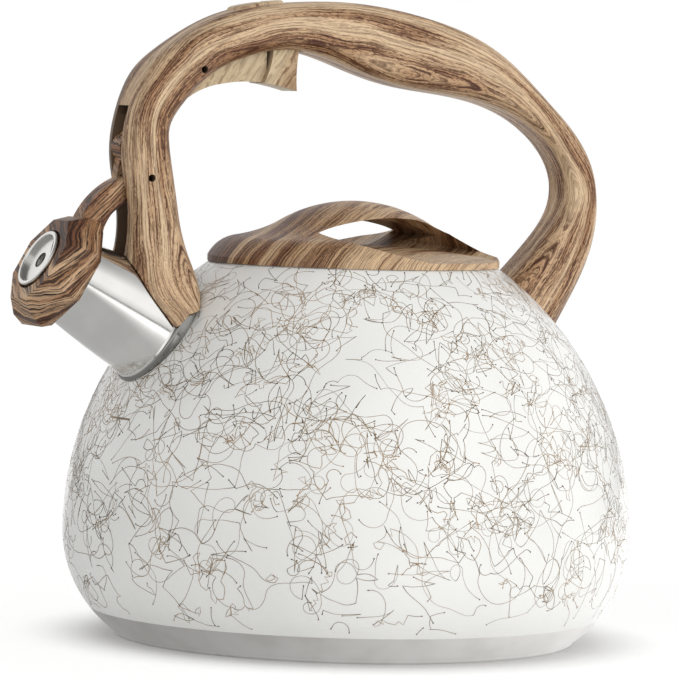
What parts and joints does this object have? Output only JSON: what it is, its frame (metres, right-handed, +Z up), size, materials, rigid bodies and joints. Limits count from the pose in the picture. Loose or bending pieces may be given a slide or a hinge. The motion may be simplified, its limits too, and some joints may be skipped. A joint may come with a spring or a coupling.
{
  "type": "stovetop whistling kettle",
  "caption": "Round steel stovetop kettle with a capsule base, loop handle, lift-off lid, and a trigger that swings a whistle cap off the spout.",
  "frame": {"origin": "centre of the face the kettle stands on", "axes": "+Z up, the spout points along -X and the handle lies in the XZ plane"},
  "size_m": [0.2447, 0.215, 0.2404],
  "materials": {
    "body_shell": "gloss white coating with a fine brown and gold scribbled print",
    "vessel_floor": "as drawn, bare steel inside",
    "base_core": "as pressed",
    "base_cap": "satin",
    "spout_tube": "polished",
    "handle": "satin wood-grain print",
    "front_bracket": "satin",
    "rear_bracket": "satin",
    "front_screw": "satin",
    "rear_screw": "satin",
    "arm_pin": "dark",
    "trigger_pin": "dark",
    "arm_spring": "drawn wire",
    "whistle_arm": "satin wood-grain print",
    "whistle_cup": "polished",
    "whistle_front_plate": "satin",
    "whistle_rear_plate": "satin",
    "trigger": "satin wood-grain print",
    "lid_cover": "satin wood-grain print",
    "lid_plate": "satin",
    "lid_seal": "matt silicone",
    "lid_screws": "satin"
  },
  "bodies": {
    "kettle": {"body_shell": "body_shell", "vessel_floor": "vessel_floor", "base_core": "base_core", "base_cap": "base_cap", "spout_tube": "spout_tube", "handle": "handle", "front_bracket": "front_bracket", "rear_bracket": "rear_bracket", "front_screw": "front_screw", "rear_screw": "rear_screw", "arm_pin": "arm_pin", "trigger_pin": "trigger_pin", "arm_spring": "arm_spring"},
    "whistle": {"whistle_arm": "whistle_arm", "whistle_cup": "whistle_cup", "whistle_front_plate": "whistle_front_plate", "whistle_rear_plate": "whistle_rear_plate"},
    "trigger": {"trigger": "trigger"},
    "lid": {"lid_cover": "lid_cover", "lid_plate": "lid_plate", "lid_seal": "lid_seal", "lid_screws": "lid_screws"}
  },
  "joints": [
    {"name": "trigger_squeeze", "type": "hinge", "parent": "kettle", "child": "trigger", "pos_m": [-0.06991, 0, 0.21329], "axis": [0, -1, 0], "range_deg": [0, 13]},
    {"name": "whistle_lift", "type": "hinge", "parent": "kettle", "child": "whistle", "pos_m": [-0.09001, 0, 0.17289], "axis": [0, 1, 0], "range_deg": [0, 39], "stiffness_Nm_per_rad": 0.03, "springref_deg": -34.38, "deforming": ["arm_spring"]},
    {"name": "lid_lift", "type": "slide", "parent": "kettle", "child": "lid", "axis": [0, 0, 1], "range_m": [0, 0.03]}
  ],
  "couplings": [
    {"joint": "whistle_lift", "follows": "trigger_squeeze", "ratio": 3}
  ]
}
